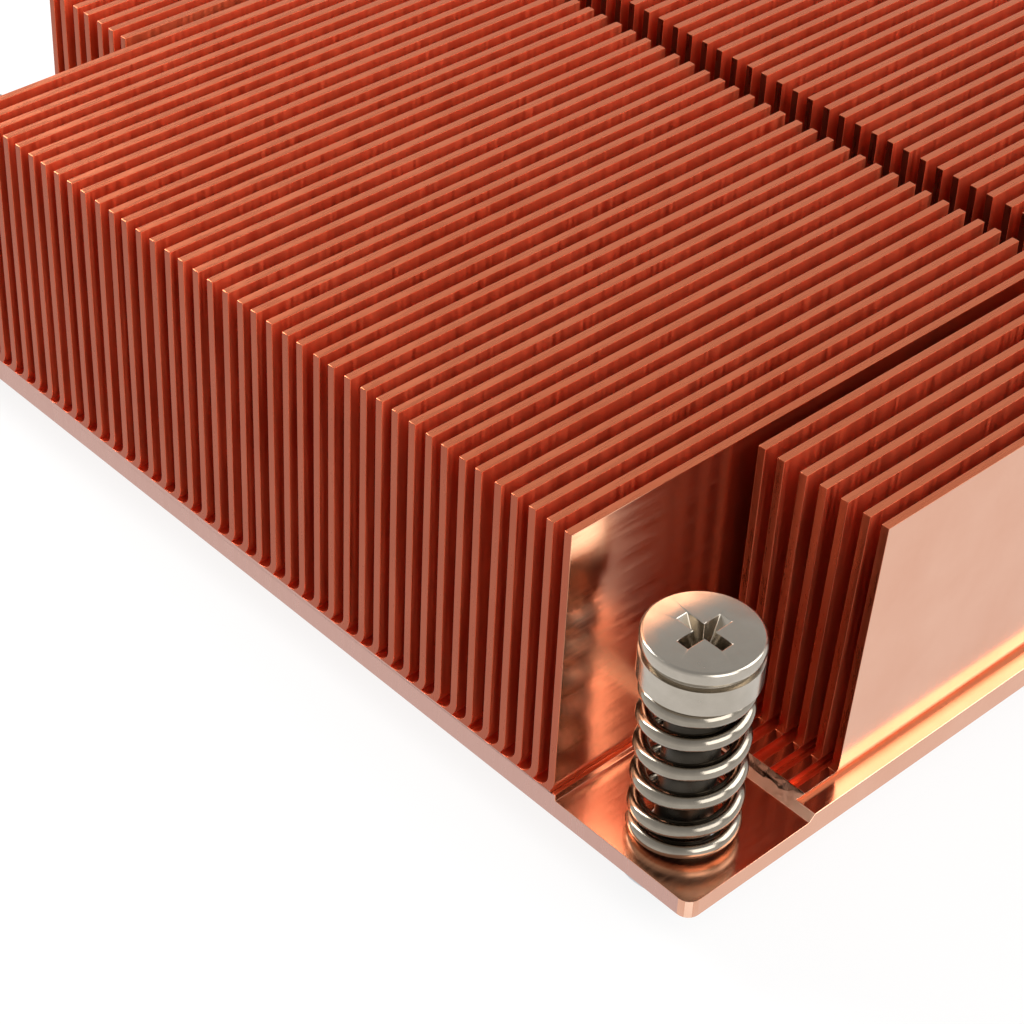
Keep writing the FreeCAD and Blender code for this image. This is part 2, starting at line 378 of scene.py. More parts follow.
# %% Tree that skives the block
bend_steps = 8
corner_steps = 6
foot_reach = 1.01           # the root's run, a hair more than its bend takes up
root_bite = 0.005 * MM      # how far the plate reaches into the roots, to fuse with them
leaning_fins = 7            # how many of the last fins lean out more and more
skew_share = 0.25           # how much of a fin's spring-back also turns it about Z


def bent_line(tree, start, corner, end):
    """A curve of two straight runs; start and end are vectors, corner is three numbers."""
    run = add(tree, "GeometryNodeCurvePrimitiveLine", {"Start": start, "End": end})
    halved = add(tree, "GeometryNodeSubdivideCurve", {"Curve": run, "Cuts": 1})
    number = add(tree, "GeometryNodeInputIndex")
    middle = add(tree, "FunctionNodeCompare", {2: number, 3: 1}, data_type="INT", operation="EQUAL")
    place = add(tree, "ShaderNodeCombineXYZ", {0: corner[0], 1: corner[1], 2: corner[2]})
    return add(tree, "GeometryNodeSetPosition", {
        "Geometry": halved, "Selection": middle, "Position": place})


def rounded_plate(tree, width, length, corner, path, scale=1.0):
    """A flat block with rounded upright corners, swept up the path."""
    outline = add(tree, "GeometryNodeCurvePrimitiveQuadrilateral", {"Width": width, "Height": length})
    rounded = add(tree, "GeometryNodeFilletCurve", {
        "Curve": outline, "Count": corner_steps, "Radius": corner}, mode="POLY")
    return add(tree, "GeometryNodeCurveToMesh", {
        "Curve": path, "Profile Curve": rounded, "Scale": scale, "Fill Caps": True})


def skiving_tree():
    """A plate with a row of J-shaped fins, squared to size, and a pad under it."""
    tree, size, result = new_tree("skive_the_block", {
        "Base Width": "Float", "Base Length": "Float", "Plate Corner": "Float",
        "Underside": "Float", "Floor Level": "Float", "Fin Count": "Int", "Fin Pitch": "Float",
        "Fin Thickness": "Float", "Fin Height": "Float", "Root Radius": "Float",
        "Milling Stock": "Float", "Spring Back": "Float", "End Lean": "Float", "Pad Size": "Float",
        "Pad Corner": "Float", "Pad Chamfer": "Float", "Seed": "Int", "Skived": "Material"})
    # One fin, from its tip down and round into its foot.
    below = add(tree, "ShaderNodeMath", {0: size["Fin Thickness"], 1: -0.5}, operation="MULTIPLY")
    bend = add(tree, "ShaderNodeMath", {0: size["Root Radius"], 1: below}, operation="SUBTRACT")
    foot_x = add(tree, "ShaderNodeMath", {0: bend, 1: -foot_reach}, operation="MULTIPLY")
    blank_height = add(tree, "ShaderNodeMath", {0: size["Fin Height"], 1: size["Milling Stock"]},
                       operation="ADD")
    blank_length = add(tree, "ShaderNodeMath", {0: size["Base Length"], 1: size["Milling Stock"]},
                       operation="ADD")
    tip = add(tree, "ShaderNodeCombineXYZ", {"Z": blank_height})
    foot = add(tree, "ShaderNodeCombineXYZ", {"X": foot_x, "Z": below})
    j_line = bent_line(tree, tip, (0.0, 0.0, below), foot)
    j_curve = add(tree, "GeometryNodeFilletCurve", {
        "Curve": j_line, "Count": bend_steps, "Radius": bend}, mode="POLY")
    upright = add(tree, "GeometryNodeSetCurveNormal", {"Curve": j_curve, "Normal": (0, 1, 0)},
                  mode="FREE")
    ribbon = add(tree, "GeometryNodeCurvePrimitiveQuadrilateral", {
        "Width": blank_length, "Height": size["Fin Thickness"]})
    fin = add(tree, "GeometryNodeCurveToMesh", {
        "Curve": upright, "Profile Curve": ribbon, "Fill Caps": True})

    # The row of fins, each with a lean of its own.
    last = add(tree, "ShaderNodeMath", {0: size["Fin Count"], 1: -1.0}, operation="ADD")
    span = add(tree, "ShaderNodeMath", {0: last, 1: size["Fin Pitch"]}, operation="MULTIPLY")
    first_x = add(tree, "ShaderNodeMath", {0: span, 1: -0.5}, operation="MULTIPLY")
    start = add(tree, "ShaderNodeCombineXYZ", {"X": first_x, "Z": size["Floor Level"]})
    step = add(tree, "ShaderNodeCombineXYZ", {"X": size["Fin Pitch"]})
    row = add(tree, "GeometryNodeMeshLine", {
        "Count": size["Fin Count"], "Start Location": start, "Offset": step})
    comb = add(tree, "GeometryNodeInstanceOnPoints", {"Points": row, "Instance": fin})
    number = add(tree, "GeometryNodeInputIndex")
    spring = add(tree, "FunctionNodeRandomValue", {2: -1.0, 3: 1.0, "Seed": size["Seed"]},
                 data_type="FLOAT")
    wander = add(tree, "ShaderNodeMath", {0: spring.outputs[1], 1: size["Spring Back"]},
                 operation="MULTIPLY")
    outer = add(tree, "ShaderNodeMath", {0: last, 1: -leaning_fins}, operation="ADD")
    lean = add(tree, "ShaderNodeMapRange", {
        "Value": number, "From Min": outer, "From Max": last, "To Max": size["End Lean"]})
    tilt = add(tree, "ShaderNodeMath", {0: wander, 1: lean}, operation="ADD")
    skew = add(tree, "ShaderNodeMath", {0: wander, 1: skew_share}, operation="MULTIPLY")
    turn = add(tree, "ShaderNodeCombineXYZ", {"Y": tilt, "Z": skew})
    leaning = add(tree, "GeometryNodeRotateInstances", {"Instances": comb, "Rotation": turn})
    fins = add(tree, "GeometryNodeRealizeInstances", {"Geometry": leaning})

    # The plate, joined to the fins, and both squared to size.
    bite = add(tree, "ShaderNodeMath", {0: size["Floor Level"], 1: root_bite}, operation="ADD")
    stock_shift = add(tree, "ShaderNodeMath", {0: size["Milling Stock"], 1: 0.5}, operation="MULTIPLY")
    stock_width = add(tree, "ShaderNodeMath", {0: size["Base Width"], 1: stock_shift}, operation="ADD")
    stock_length = add(tree, "ShaderNodeMath", {0: size["Base Length"], 1: stock_shift}, operation="ADD")
    plate_bottom = add(tree, "ShaderNodeCombineXYZ", {"Z": size["Underside"]})
    plate_top = add(tree, "ShaderNodeCombineXYZ", {"Z": bite})
    rise = add(tree, "GeometryNodeCurvePrimitiveLine", {"Start": plate_bottom, "End": plate_top})
    plate = rounded_plate(tree, stock_width, stock_length, size["Plate Corner"], rise)
    skived = add(tree, "GeometryNodeMeshBoolean", {1: [fins, plate]}, operation="UNION",
                 solver="MANIFOLD")
    comb_top = add(tree, "ShaderNodeMath", {0: size["Floor Level"], 1: size["Fin Height"]}, operation="ADD")
    envelope_top = add(tree, "ShaderNodeCombineXYZ", {"Z": comb_top})
    envelope_path = add(tree, "GeometryNodeCurvePrimitiveLine", {"Start": (0, 0, 0), "End": envelope_top})
    envelope = rounded_plate(tree, size["Base Width"], size["Base Length"], size["Plate Corner"],
                             envelope_path)
    squared = add(tree, "GeometryNodeMeshBoolean", {1: [skived, envelope]},
                  operation="INTERSECT", solver="MANIFOLD")

    # The contact pad, narrower at its lower edge by the chamfer.
    pad_root = add(tree, "ShaderNodeMath", {0: size["Underside"], 1: size["Floor Level"]}, operation="ADD")
    half_root = add(tree, "ShaderNodeMath", {0: pad_root, 1: 0.5}, operation="MULTIPLY")
    pad_top = add(tree, "ShaderNodeCombineXYZ", {"Z": half_root})
    pad_path = bent_line(tree, (0.0, 0.0, 0.0), (0.0, 0.0, size["Pad Chamfer"]), pad_top)
    height = add(tree, "GeometryNodeInputPosition")
    height_z = add(tree, "ShaderNodeSeparateXYZ", {0: height})
    inset = add(tree, "ShaderNodeMath", {0: size["Pad Chamfer"], 1: size["Pad Size"]}, operation="DIVIDE")
    foot_share = add(tree, "ShaderNodeMath", {0: inset, 1: -2.0, 2: 1.0}, operation="MULTIPLY_ADD")
    chamfer = add(tree, "ShaderNodeMapRange", {
        "Value": height_z.outputs["Z"], "From Max": size["Pad Chamfer"],
        "To Min": foot_share, "To Max": 1.0})
    pad = rounded_plate(tree, size["Pad Size"], size["Pad Size"], size["Pad Corner"], pad_path, chamfer)
    block = add(tree, "GeometryNodeMeshBoolean", {1: [squared, pad]}, operation="UNION",
                solver="MANIFOLD")
    realized = add(tree, "GeometryNodeRealizeInstances", {"Geometry": block})
    coppered = add(tree, "GeometryNodeSetMaterial", {"Geometry": realized, "Material": size["Skived"]})
    tree.links.new(coppered.outputs[0], result[0])
    return tree


skive = skiving_tree()
print("skiving tree:", len(skive.nodes), "nodes")

# %% [markdown]
# ## Milling the comb
#
# After skiving, an end mill clears the four corners for the screws. It stops half
# a millimetre above the floors, so the stubs of the cut fins stay as a low land,
# then sinks a flat seat for each spring, with a sloping inner end. A slot is milled
# across the fin tips and the screw holes are drilled. The second tree takes the
# skived block and subtracts those cutters, four at a time, one in each corner.
# Drawing one corner and letting instances make the rest keeps all four alike.

# %% Tree that mills the corners, the slot and the holes
def in_four_corners(tree, cutter, centre):
    """The cutter at centre and its copies in the other corners, those at -Y turned half round."""
    doubled = add(tree, "ShaderNodeVectorMath", {0: centre, "Scale": 2.0}, operation="SCALE")
    spread = add(tree, "ShaderNodeSeparateXYZ", {0: doubled})
    grid = add(tree, "GeometryNodeMeshGrid", {
        "Size X": spread.outputs["X"], "Size Y": spread.outputs["Y"], "Vertices X": 2, "Vertices Y": 2})
    half = add(tree, "ShaderNodeMath", {0: spread.outputs["Z"], 1: 0.5}, operation="MULTIPLY")
    lift = add(tree, "ShaderNodeCombineXYZ", {"Z": half})
    raised = add(tree, "GeometryNodeTransform", {"Geometry": grid, "Translation": lift})
    place = add(tree, "GeometryNodeInputPosition")
    place_y = add(tree, "ShaderNodeSeparateXYZ", {0: place})
    at_near_end = add(tree, "ShaderNodeMath", {0: place_y.outputs["Y"], 1: 0.0}, operation="LESS_THAN")
    half_turn = add(tree, "ShaderNodeMath", {0: at_near_end, 1: math.pi}, operation="MULTIPLY")
    turn = add(tree, "ShaderNodeCombineXYZ", {"Z": half_turn})
    four = add(tree, "GeometryNodeInstanceOnPoints", {
        "Points": raised, "Instance": cutter, "Rotation": turn})
    return add(tree, "GeometryNodeRealizeInstances", {"Geometry": four})


def cut_on_the_slant(tree, block, size):
    """The block with its upper -Y edge pushed out by the block's height, a slope of 45 degrees."""
    place = add(tree, "GeometryNodeInputPosition")
    at = add(tree, "ShaderNodeSeparateXYZ", {0: place})
    upper = add(tree, "ShaderNodeMath", {0: at.outputs["Z"], 1: 0.0}, operation="GREATER_THAN")
    inner = add(tree, "ShaderNodeMath", {0: at.outputs["Y"], 1: 0.0}, operation="LESS_THAN")
    edge = add(tree, "ShaderNodeMath", {0: upper, 1: inner}, operation="MULTIPLY")
    sides = add(tree, "ShaderNodeSeparateXYZ", {0: size})
    run = add(tree, "ShaderNodeMath", {0: edge, 1: sides.outputs["Z"]}, operation="MULTIPLY")
    back = add(tree, "ShaderNodeMath", {0: run, 1: -1.0}, operation="MULTIPLY")
    shift = add(tree, "ShaderNodeCombineXYZ", {"Y": back})
    return add(tree, "GeometryNodeSetPosition", {"Geometry": block, "Offset": shift})


def milling_tree():
    """The skived block less four notches, four seats, four holes and a slot."""
    tree, size, result = new_tree("mill_the_comb", {
        "Notch": "Vector", "Notch Centre": "Vector", "Seat": "Vector", "Seat Centre": "Vector",
        "Slot": "Vector", "Slot Centre": "Vector", "Hole Radius": "Float", "Hole Length": "Float",
        "Hole Centre": "Vector", "Skived": "Material"}, takes_geometry=True)
    notch = add(tree, "GeometryNodeMeshCube", {"Size": size["Notch"]})
    seat_block = add(tree, "GeometryNodeMeshCube", {"Size": size["Seat"]})
    seat = cut_on_the_slant(tree, seat_block, size["Seat"])
    hole = add(tree, "GeometryNodeMeshCylinder", {
        "Vertices": 40, "Radius": size["Hole Radius"], "Depth": size["Hole Length"]})
    slot = add(tree, "GeometryNodeMeshCube", {"Size": size["Slot"]})
    slot_placed = add(tree, "GeometryNodeTransform", {
        "Geometry": slot, "Translation": size["Slot Centre"]})
    cutters = [in_four_corners(tree, notch, size["Notch Centre"]),
               in_four_corners(tree, seat, size["Seat Centre"]),
               in_four_corners(tree, hole, size["Hole Centre"]), slot_placed]
    milled = add(tree, "GeometryNodeMeshBoolean", {0: size["Geometry"], 1: cutters},
                 operation="DIFFERENCE", solver="MANIFOLD")
    realized = add(tree, "GeometryNodeRealizeInstances", {"Geometry": milled})
    skived = add(tree, "GeometryNodeSetMaterial", {"Geometry": realized, "Material": size["Skived"]})
    tree.links.new(skived.outputs[0], result[0])
    return tree


mill = milling_tree()
print("milling tree:", len(mill.nodes), "nodes")

# %% [markdown]
# ## A finish for every face
#
# One block of copper shows several finishes, because each tool leaves its own, and
# two of them carry painted shade. They could be painted by hand, but the block has
# thousands of faces. A third tree sorts them instead, by which way a face points and
# where it lies. Flat and low is a milled floor, flat and high a fin tip, and a face
# square to Y the end of a fin, painted dark as shade. A face along Y is a flank: the
# notch's wall if it lies there, the bright outer fin at the very outside, and otherwise
# hidden between two fins, where it is painted redder and darker as shade. A slope of
# 45 degrees is the end of a seat. A later finish in the list goes over an earlier one.

# %% Tree that finds the finish of each face
square_on = 0.95                # the normal's part along an axis, for a face square to it
floor_upness = 0.6              # the same along Z, for a floor that may slope
flank_endness = 0.3             # and along Y, the most that a flank may have
slope_endness, slope_spread = 0.7, 0.15     # along Y again, on a slope of 45 degrees
wall_place, wall_spread = 0.35 * MM, 0.85 * MM      # X of the wall's faces past the last full fin
outer_spread = 0.6 * MM         # how far inwards the flank of the outermost fin may stray
above_floor = 0.02 * MM
floor_spread = 0.1 * MM         # how far a floor may be off its level


def finishing_tree():
    """Sorts the faces of the milled block and gives each sort its copper."""
    tree, size, result = new_tree("finish_the_faces", {
        "Milled Below": "Float", "Skin Above": "Float", "Wall": "Float", "Outer Face": "Float",
        "Floor Level": "Float", "Milled": "Material", "Block Skin": "Material",
        "Shaded Fin Ends": "Material", "Shade Amid Fins": "Material", "Ramp": "Material"},
        takes_geometry=True)
    normal = add(tree, "GeometryNodeInputNormal")
    facing = add(tree, "ShaderNodeSeparateXYZ", {0: normal})
    place = add(tree, "GeometryNodeInputPosition")
    at = add(tree, "ShaderNodeSeparateXYZ", {0: place})
    upness = add(tree, "ShaderNodeMath", {0: facing.outputs["Z"]}, operation="ABSOLUTE")
    endness = add(tree, "ShaderNodeMath", {0: facing.outputs["Y"]}, operation="ABSOLUTE")
    from_middle = add(tree, "ShaderNodeMath", {0: at.outputs["X"]}, operation="ABSOLUTE")

    # Milled floors, fin tips and fin ends.
    flat = add(tree, "ShaderNodeMath", {0: upness, 1: square_on}, operation="GREATER_THAN")
    floorlike = add(tree, "ShaderNodeMath", {0: upness, 1: floor_upness}, operation="GREATER_THAN")
    low = add(tree, "ShaderNodeMath", {0: at.outputs["Z"], 1: size["Milled Below"]}, operation="LESS_THAN")
    high = add(tree, "ShaderNodeMath", {0: at.outputs["Z"], 1: size["Skin Above"]},
               operation="GREATER_THAN")
    end_face = add(tree, "ShaderNodeMath", {0: endness, 1: square_on}, operation="GREATER_THAN")
    milled_floor = add(tree, "ShaderNodeMath", {0: floorlike, 1: low}, operation="MULTIPLY")
    tip = add(tree, "ShaderNodeMath", {0: flat, 1: high}, operation="MULTIPLY")
    # The fin ends get the copper that is painted dark as shade.
    fin_end = add(tree, "ShaderNodeMath", {0: end_face, 1: high}, operation="MULTIPLY")

    # The two open sides, where a fin's flank faces away from the middle: the wall and the outside.
    leaving = add(tree, "ShaderNodeMath", {0: at.outputs["X"], 1: facing.outputs["X"]},
                  operation="MULTIPLY")
    outward = add(tree, "ShaderNodeMath", {0: leaving, 1: 0.0}, operation="GREATER_THAN")
    past_wall = add(tree, "ShaderNodeMath", {0: from_middle, 1: size["Wall"]}, operation="SUBTRACT")
    near_wall = add(tree, "ShaderNodeMath", {0: past_wall, 1: wall_place, 2: wall_spread},
                    operation="COMPARE")
    past_outer = add(tree, "ShaderNodeMath", {0: from_middle, 1: size["Outer Face"]},
                     operation="SUBTRACT")
    near_outer = add(tree, "ShaderNodeMath", {0: past_outer, 1: -outer_spread}, operation="GREATER_THAN")
    open_side = add(tree, "ShaderNodeMath", {0: near_wall, 1: near_outer}, operation="MAXIMUM")
    seen = add(tree, "ShaderNodeMath", {0: open_side, 1: outward}, operation="MULTIPLY")
    unseen = add(tree, "ShaderNodeMath", {0: 1.0, 1: seen}, operation="SUBTRACT")

    # Flanks and floors that are hidden between fins, the wall's flank, and the seats' slopes.
    off_floor = add(tree, "ShaderNodeMath", {0: at.outputs["Z"], 1: size["Floor Level"]},
                    operation="SUBTRACT")
    above = add(tree, "ShaderNodeMath", {0: off_floor, 1: above_floor}, operation="GREATER_THAN")
    lengthways = add(tree, "ShaderNodeMath", {0: endness, 1: flank_endness}, operation="LESS_THAN")
    not_flat = add(tree, "ShaderNodeMath", {0: 1.0, 1: flat}, operation="SUBTRACT")
    upright = add(tree, "ShaderNodeMath", {0: lengthways, 1: not_flat}, operation="MULTIPLY")
    flank = add(tree, "ShaderNodeMath", {0: above, 1: upright}, operation="MULTIPLY")
    hidden_flank = add(tree, "ShaderNodeMath", {0: flank, 1: unseen}, operation="MULTIPLY")
    on_floor = add(tree, "ShaderNodeMath", {0: off_floor, 1: 0.0, 2: floor_spread}, operation="COMPARE")
    flat_floor = add(tree, "ShaderNodeMath", {0: on_floor, 1: flat}, operation="MULTIPLY")
    inside = add(tree, "ShaderNodeMath", {0: past_outer, 1: 0.0}, operation="LESS_THAN")
    hidden_floor = add(tree, "ShaderNodeMath", {0: flat_floor, 1: inside}, operation="MULTIPLY")
    # The hidden flanks and floors get the copper with painted shade between the fins.
    hidden = add(tree, "ShaderNodeMath", {0: hidden_flank, 1: hidden_floor}, operation="MAXIMUM")
    beside_wall = add(tree, "ShaderNodeMath", {0: near_wall, 1: outward}, operation="MULTIPLY")
    wall = add(tree, "ShaderNodeMath", {0: beside_wall, 1: flank}, operation="MULTIPLY")
    slanting = add(tree, "ShaderNodeMath", {0: endness, 1: slope_endness, 2: slope_spread},
                   operation="COMPARE")
    seat_end = add(tree, "ShaderNodeMath", {0: slanting, 1: low}, operation="MULTIPLY")

    finished = add(tree, "GeometryNodeRealizeInstances", {"Geometry": size["Geometry"]})
    for chosen, finish in ((milled_floor, "Milled"), (tip, "Block Skin"), (fin_end, "Shaded Fin Ends"),
                           (hidden, "Shade Amid Fins"), (wall, "Milled"), (seat_end, "Ramp")):
        finished = add(tree, "GeometryNodeSetMaterial", {
            "Geometry": finished, "Selection": chosen, "Material": size[finish]})
    tree.links.new(finished.outputs[0], result[0])
    return tree


finish_faces = finishing_tree()
print("finishing tree:", len(finish_faces.nodes), "nodes")

# %% [markdown]
# ## The heatsink body
#
# The three trees run one after the other on the same carrier, as the block goes
# from machine to machine, and the sharp edges are broken last. Each cutter is given
# as a box and starts a little outside the block, so that it cuts clean through.

# %% Cutters for the corners and the slot
overcut = 1.0 * MM
wall_allowance = 0.12 * MM      # between the last full fin and the notch's cutter
seat_allowance = 0.01 * MM      # the seat's cutter keeps clear of the notch's wall


def cutter_box(x_from, x_to, y_from, y_to, z_from, z_to):
    """Size and centre of a box, as the milling tree takes them."""
    low, high = Vector((x_from, y_from, z_from)), Vector((x_to, y_to, z_to))
    return high - low, (high + low) / 2


outside_x, outside_y, above = base_width / 2 + overcut, base_length / 2 + overcut, fin_top + overcut
wall_x = notch_wall_x + wall_allowance
notch, notch_centre = cutter_box(wall_x, outside_x, base_length / 2 - notch_length, outside_y,
                                 land_level, above)
seat, seat_centre = cutter_box(wall_x + seat_allowance, outside_x + overcut,
                               base_length / 2 - seat_length, outside_y + overcut,
                               seat_level, land_level + overcut)
slot, slot_centre = cutter_box(-outside_x, outside_x, groove_place - groove_width / 2,
                               groove_place + groove_width / 2, fin_top - groove_depth, above)
print("notch", [round(side / MM, 2) for side in notch], "mm")

# %% Heatsink body
milling_stock = 1.0 * MM        # what skiving leaves on the height and the length
spring_back = math.radians(0.25)
end_lean = math.radians(2.5)
carrier = new_carrier("heatsink_blank")
run_tree(carrier, skive, {
    "Base Width": base_width, "Base Length": base_length, "Plate Corner": plate_corner,
    "Underside": plate_underside, "Floor Level": floor_level, "Fin Count": fin_count,
    "Fin Pitch": fin_pitch, "Fin Thickness": fin_thickness, "Fin Height": fin_top - floor_level,
    "Root Radius": root_radius, "Milling Stock": milling_stock, "Spring Back": spring_back,
    "End Lean": end_lean, "Pad Size": pad_size, "Pad Corner": pad_corner,
    "Pad Chamfer": pad_chamfer, "Seed": 4, "Skived": skived_copper})
run_tree(carrier, mill, {
    "Notch": notch, "Notch Centre": notch_centre, "Seat": seat, "Seat Centre": seat_centre,
    "Slot": slot, "Slot Centre": slot_centre, "Hole Radius": hole_radius, "Hole Length": fin_top,
    "Hole Centre": Vector((screw_axis_x, screw_axis_y, plate_underside)),
    "Skived": skived_copper})
run_tree(carrier, finish_faces, {
    "Milled Below": land_level + floor_spread, "Skin Above": floor_level + root_radius,
    "Wall": notch_wall_x, "Outer Face": outermost_face, "Floor Level": floor_level,
    "Milled": milled_copper, "Block Skin": block_skin, "Shaded Fin Ends": shaded_fin_ends,
    "Shade Amid Fins": amid_fins_shade, "Ramp": ramp_copper})
break_edges(carrier, width=0.06 * MM)
heatsink = take_mesh(carrier, "skived_heatsink", smooth_below=math.radians(40))
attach(heatsink, "heatsink")
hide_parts("heatsink_body")

# %% [markdown]
# ## Captive screws
#
# Each screw is turned from bar: a head in two steps with a groove round it, a plain
# shank that runs through the spring, a narrow neck for the ring, and a threaded
# end. A lathe makes it here too: half of its outline is spun round the axis. A tree
# adds the thread, a ridge that follows a helix, and cuts the cross recess for the
# driver. It also marks the sharp edges of the head, so that only those are broken
# and the fine thread keeps its form. It runs once for each corner, because each
# screw turns by itself.

# %% Turned blank
head_radius = (screw_high.x - screw_low.x) / 2
head_top = screw_high.z
head_height = 3.5 * MM
head_groove_top = head_top - 0.9 * MM
head_groove_bottom = head_groove_top - 0.6 * MM
head_groove_radius = head_radius - 0.45 * MM
head_underside = head_top - head_height
shank_radius = 1.95 * MM
neck_radius = shank_radius - 0.45 * MM
neck_top = ring_high.z + 0.05 * MM
neck_bottom = ring_low.z - 0.05 * MM
thread_radius = 1.75 * MM
thread_depth = 0.28 * MM
core_radius = thread_radius - thread_depth
tip_chamfer = 0.3 * MM
collar_height = 0.3 * MM        # the full-width ring of metal between thread and neck
collar_slope = 0.2 * MM
head_round = 0.3 * MM


def turned_blank(name, outline, steps=64):
    """Spins (radius, height) points round Z into a closed solid."""
    shape = bmesh.new()
    points = [shape.verts.new((radius, 0.0, height)) for radius, height in outline]
    edges = [shape.edges.new(pair) for pair in zip(points, points[1:])]
    bmesh.ops.spin(shape, geom=points + edges, cent=(0, 0, 0), axis=(0, 0, 1),
                   angle=2 * math.pi, steps=steps)
    bmesh.ops.remove_doubles(shape, verts=shape.verts, dist=0.001 * MM)
    bmesh.ops.recalc_face_normals(shape, faces=shape.faces)
    mesh = bpy.data.meshes.new(name)
    shape.to_mesh(mesh)
    shape.free()
    return bpy.data.objects.new(name, mesh)


collar_bottom = neck_bottom - collar_height
screw_outline = [
    (0, screw_low.z), (core_radius - tip_chamfer, screw_low.z),
    (core_radius, screw_low.z + tip_chamfer), (core_radius, collar_bottom - collar_slope),
    (thread_radius, collar_bottom), (thread_radius, neck_bottom), (neck_radius, neck_bottom),
    (neck_radius, neck_top), (shank_radius, neck_top), (shank_radius, head_underside),
    (head_radius, head_underside), (head_radius, head_groove_bottom),
    (head_groove_radius, head_groove_bottom), (head_groove_radius, head_groove_top),
    (head_radius, head_groove_top), (head_radius, head_top - head_round),
    (head_radius - head_round / 3, head_top - head_round / 3), (head_radius - head_round, head_top),
    (0, head_top)]
screw_blank = turned_blank("screw_blank", screw_outline)
scene.collection.objects.link(screw_blank)
print("blank has", len(screw_blank.data.polygons), "faces")

# %% Tree that threads the blank and cuts its recess
run_out_share = 0.06            # the share of the thread over which each end fades out


def wound(tree, radius, turns, level, steps, start=0.0):
    """A curve wound round Z from the angle start; level is the height along it."""
    run = add(tree, "GeometryNodeCurvePrimitiveLine")
    fine = add(tree, "GeometryNodeResampleCurve", {"Curve": run, "Count": steps}, mode="COUNT")
    along = add(tree, "GeometryNodeSplineParameter")
    full_turns = add(tree, "ShaderNodeMath", {0: along.outputs["Factor"], 1: turns}, operation="MULTIPLY")
    angle = add(tree, "ShaderNodeMath", {0: full_turns, 1: 2 * math.pi, 2: start},
                operation="MULTIPLY_ADD")
    cosine = add(tree, "ShaderNodeMath", {0: angle}, operation="COSINE")
    sine = add(tree, "ShaderNodeMath", {0: angle}, operation="SINE")
    x = add(tree, "ShaderNodeMath", {0: cosine, 1: radius}, operation="MULTIPLY")
    y = add(tree, "ShaderNodeMath", {0: sine, 1: radius}, operation="MULTIPLY")
    place = add(tree, "ShaderNodeCombineXYZ", {"X": x, "Y": y, "Z": level})
    coiled = add(tree, "GeometryNodeSetPosition", {"Geometry": fine, "Position": place})
    return add(tree, "GeometryNodeSetCurveNormal", {"Curve": coiled}, mode="Z_UP")


